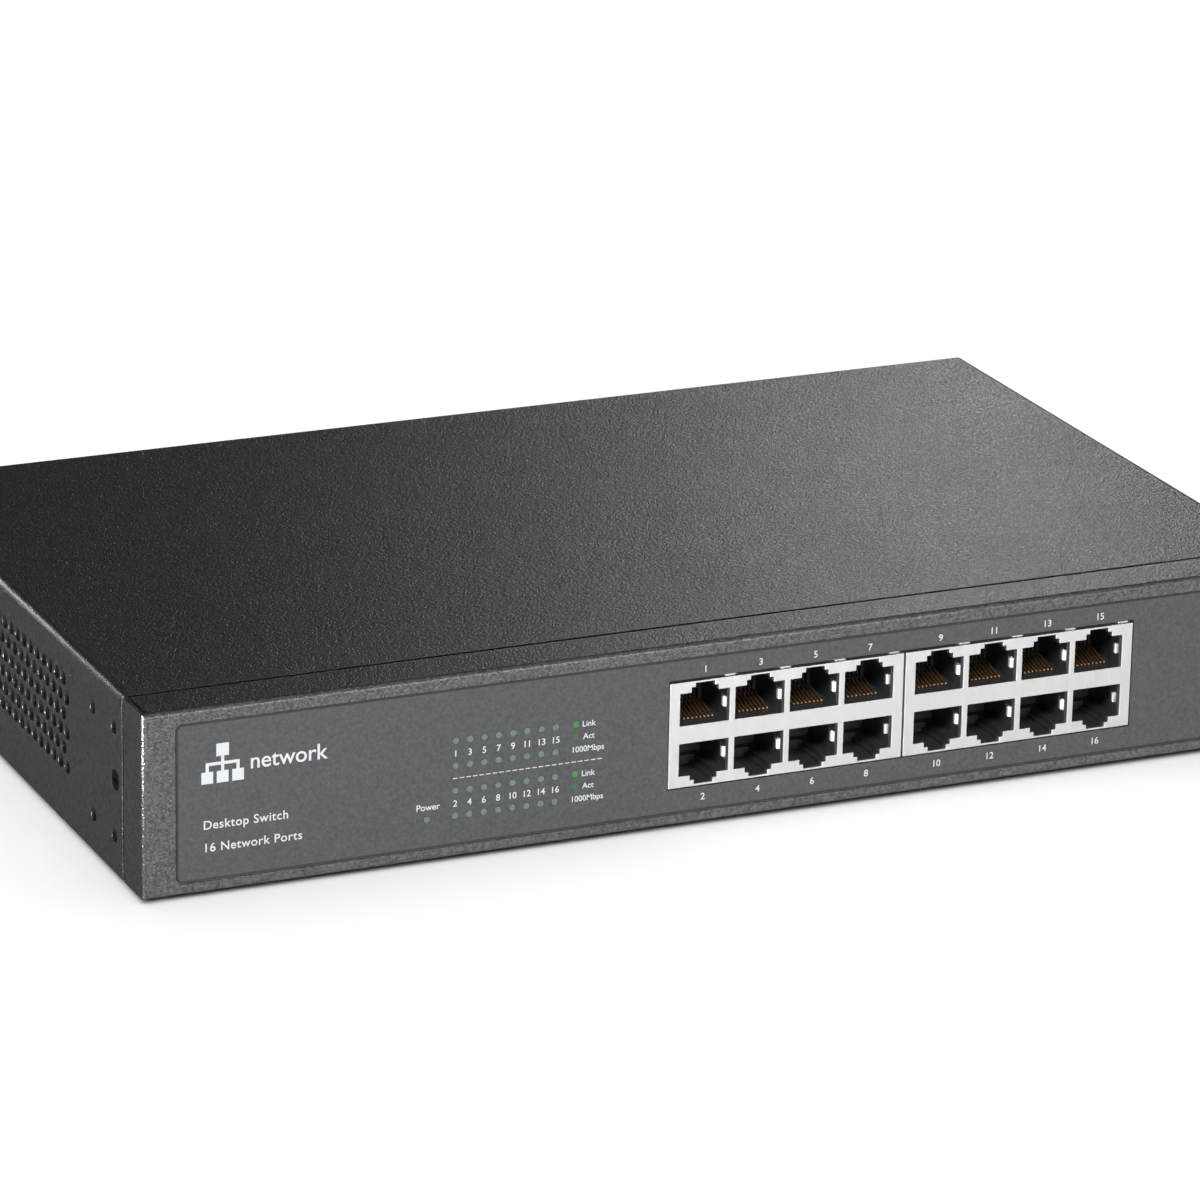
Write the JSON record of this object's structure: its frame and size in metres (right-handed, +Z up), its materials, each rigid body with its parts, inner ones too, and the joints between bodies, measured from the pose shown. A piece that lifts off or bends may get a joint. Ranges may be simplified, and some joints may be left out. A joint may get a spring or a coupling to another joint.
{
  "type": "desktop network switch",
  "caption": "Low steel-cased desktop network switch with stacked modular jacks and an indicator field on its recessed front, side vents, rear mains inlet and sprung jack contacts.",
  "frame": {"origin": "middle of the footprint, on the surface that the feet stand on", "axes": "+X to the right along the front, front faces -Y, +Z up"},
  "size_m": [0.294, 0.18, 0.045],
  "materials": {
    "powder_coated_steel": "fine wrinkle powder coat",
    "overlay_film": "satin printed film",
    "rubber": "moulded",
    "black_zinc": "black zinc plated",
    "tinned_shield": "bright tin plate",
    "jack_plastic": "moulded",
    "gold_contacts": "gold flash",
    "light_guide": "clear moulded",
    "green_board": "solder mask",
    "lamp": "moulded",
    "black_nylon": "moulded",
    "zinc_hardware": "bright zinc",
    "chip_epoxy": "moulded epoxy",
    "aluminium_fins": "extruded",
    "steel_can": "drawn",
    "capacitor_sleeve": "shrunk sleeve",
    "ferrite": "sintered",
    "ivory_nylon": "moulded",
    "supply_laminate": "paper laminate",
    "insulator_film": "calendered film",
    "fuse_ceramic": "ceramic with end caps",
    "choke_copper": "enamelled wire",
    "yellow_box": "moulded",
    "winding_tape": "polyester tape",
    "red_wire": "extruded sleeve",
    "brown_wire": "extruded sleeve",
    "earth_wire": "extruded sleeve",
    "nickel_blades": "nickel plated"
  },
  "bodies": {
    "case": {"chassis_base": "powder_coated_steel", "top_cover": "powder_coated_steel", "front_overlay": "overlay_film", "rubber_feet": "rubber", "cover_screws": "black_zinc", "jack_shield_left": "tinned_shield", "jack_shield_right": "tinned_shield", "jack_housing_left": "jack_plastic", "jack_housing_right": "jack_plastic", "contact_combs": "jack_plastic", "light_guide": "light_guide", "led_board": "green_board", "indicator_leds": "lamp", "led_header": "black_nylon", "main_board": "green_board", "standoffs": "zinc_hardware", "board_screws": "zinc_hardware", "switch_chip": "chip_epoxy", "phy_chips": "chip_epoxy", "chip_heatsink": "aluminium_fins", "line_transformers": "chip_epoxy", "crystal": "steel_can", "board_capacitors": "capacitor_sleeve", "power_inductors": "ferrite", "supply_board": "supply_laminate", "insulator_sheet": "insulator_film", "mains_fuse": "fuse_ceramic", "mains_choke": "choke_copper", "filter_capacitor": "yellow_box", "bridge_rectifier": "chip_epoxy", "bulk_capacitor": "capacitor_sleeve", "transformer_core": "ferrite", "transformer_winding": "winding_tape", "supply_heatsink": "aluminium_fins", "switching_transistor": "chip_epoxy", "output_capacitors": "capacitor_sleeve", "ac_header": "ivory_nylon", "dc_headers": "ivory_nylon", "dc_harness": "red_wire", "ac_harness": "brown_wire", "earth_lead": "earth_wire", "inlet_body": "black_nylon", "inlet_pins": "nickel_blades", "rear_screws": "zinc_hardware"},
    "contacts_01": {"contact_set_01": "gold_contacts"},
    "contacts_02": {"contact_set_02": "gold_contacts"},
    "contacts_03": {"contact_set_03": "gold_contacts"},
    "contacts_04": {"contact_set_04": "gold_contacts"},
    "contacts_05": {"contact_set_05": "gold_contacts"},
    "contacts_06": {"contact_set_06": "gold_contacts"},
    "contacts_07": {"contact_set_07": "gold_contacts"},
    "contacts_08": {"contact_set_08": "gold_contacts"},
    "contacts_09": {"contact_set_09": "gold_contacts"},
    "contacts_10": {"contact_set_10": "gold_contacts"},
    "contacts_11": {"contact_set_11": "gold_contacts"},
    "contacts_12": {"contact_set_12": "gold_contacts"},
    "contacts_13": {"contact_set_13": "gold_contacts"},
    "contacts_14": {"contact_set_14": "gold_contacts"},
    "contacts_15": {"contact_set_15": "gold_contacts"},
    "contacts_16": {"contact_set_16": "gold_contacts"}
  },
  "joints": [
    {"name": "contacts_01_flex", "type": "hinge", "parent": "case", "child": "contacts_01", "pos_m": [-0.01005, -0.0862, 0.02535], "axis": [-1, 0, 0], "range_deg": [0, 12], "stiffness_Nm_per_rad": 0.05},
    {"name": "contacts_02_flex", "type": "hinge", "parent": "case", "child": "contacts_02", "pos_m": [-0.01005, -0.0862, 0.02035], "axis": [1, 0, 0], "range_deg": [0, 12], "stiffness_Nm_per_rad": 0.05},
    {"name": "contacts_03_flex", "type": "hinge", "parent": "case", "child": "contacts_03", "pos_m": [0.00392, -0.0862, 0.02535], "axis": [-1, 0, 0], "range_deg": [0, 12], "stiffness_Nm_per_rad": 0.05},
    {"name": "contacts_04_flex", "type": "hinge", "parent": "case", "child": "contacts_04", "pos_m": [0.00392, -0.0862, 0.02035], "axis": [1, 0, 0], "range_deg": [0, 12], "stiffness_Nm_per_rad": 0.05},
    {"name": "contacts_05_flex", "type": "hinge", "parent": "case", "child": "contacts_05", "pos_m": [0.01789, -0.0862, 0.02535], "axis": [-1, 0, 0], "range_deg": [0, 12], "stiffness_Nm_per_rad": 0.05},
    {"name": "contacts_06_flex", "type": "hinge", "parent": "case", "child": "contacts_06", "pos_m": [0.01789, -0.0862, 0.02035], "axis": [1, 0, 0], "range_deg": [0, 12], "stiffness_Nm_per_rad": 0.05},
    {"name": "contacts_07_flex", "type": "hinge", "parent": "case", "child": "contacts_07", "pos_m": [0.03186, -0.0862, 0.02535], "axis": [-1, 0, 0], "range_deg": [0, 12], "stiffness_Nm_per_rad": 0.05},
    {"name": "contacts_08_flex", "type": "hinge", "parent": "case", "child": "contacts_08", "pos_m": [0.03186, -0.0862, 0.02035], "axis": [1, 0, 0], "range_deg": [0, 12], "stiffness_Nm_per_rad": 0.05},
    {"name": "contacts_09_flex", "type": "hinge", "parent": "case", "child": "contacts_09", "pos_m": [0.05015, -0.0862, 0.02535], "axis": [-1, 0, 0], "range_deg": [0, 12], "stiffness_Nm_per_rad": 0.05},
    {"name": "contacts_10_flex", "type": "hinge", "parent": "case", "child": "contacts_10", "pos_m": [0.05015, -0.0862, 0.02035], "axis": [1, 0, 0], "range_deg": [0, 12], "stiffness_Nm_per_rad": 0.05},
    {"name": "contacts_11_flex", "type": "hinge", "parent": "case", "child": "contacts_11", "pos_m": [0.06412, -0.0862, 0.02535], "axis": [-1, 0, 0], "range_deg": [0, 12], "stiffness_Nm_per_rad": 0.05},
    {"name": "contacts_12_flex", "type": "hinge", "parent": "case", "child": "contacts_12", "pos_m": [0.06412, -0.0862, 0.02035], "axis": [1, 0, 0], "range_deg": [0, 12], "stiffness_Nm_per_rad": 0.05},
    {"name": "contacts_13_flex", "type": "hinge", "parent": "case", "child": "contacts_13", "pos_m": [0.07809, -0.0862, 0.02535], "axis": [-1, 0, 0], "range_deg": [0, 12], "stiffness_Nm_per_rad": 0.05},
    {"name": "contacts_14_flex", "type": "hinge", "parent": "case", "child": "contacts_14", "pos_m": [0.07809, -0.0862, 0.02035], "axis": [1, 0, 0], "range_deg": [0, 12], "stiffness_Nm_per_rad": 0.05},
    {"name": "contacts_15_flex", "type": "hinge", "parent": "case", "child": "contacts_15", "pos_m": [0.09205, -0.0862, 0.02535], "axis": [-1, 0, 0], "range_deg": [0, 12], "stiffness_Nm_per_rad": 0.05},
    {"name": "contacts_16_flex", "type": "hinge", "parent": "case", "child": "contacts_16", "pos_m": [0.09205, -0.0862, 0.02035], "axis": [1, 0, 0], "range_deg": [0, 12], "stiffness_Nm_per_rad": 0.05}
  ]
}
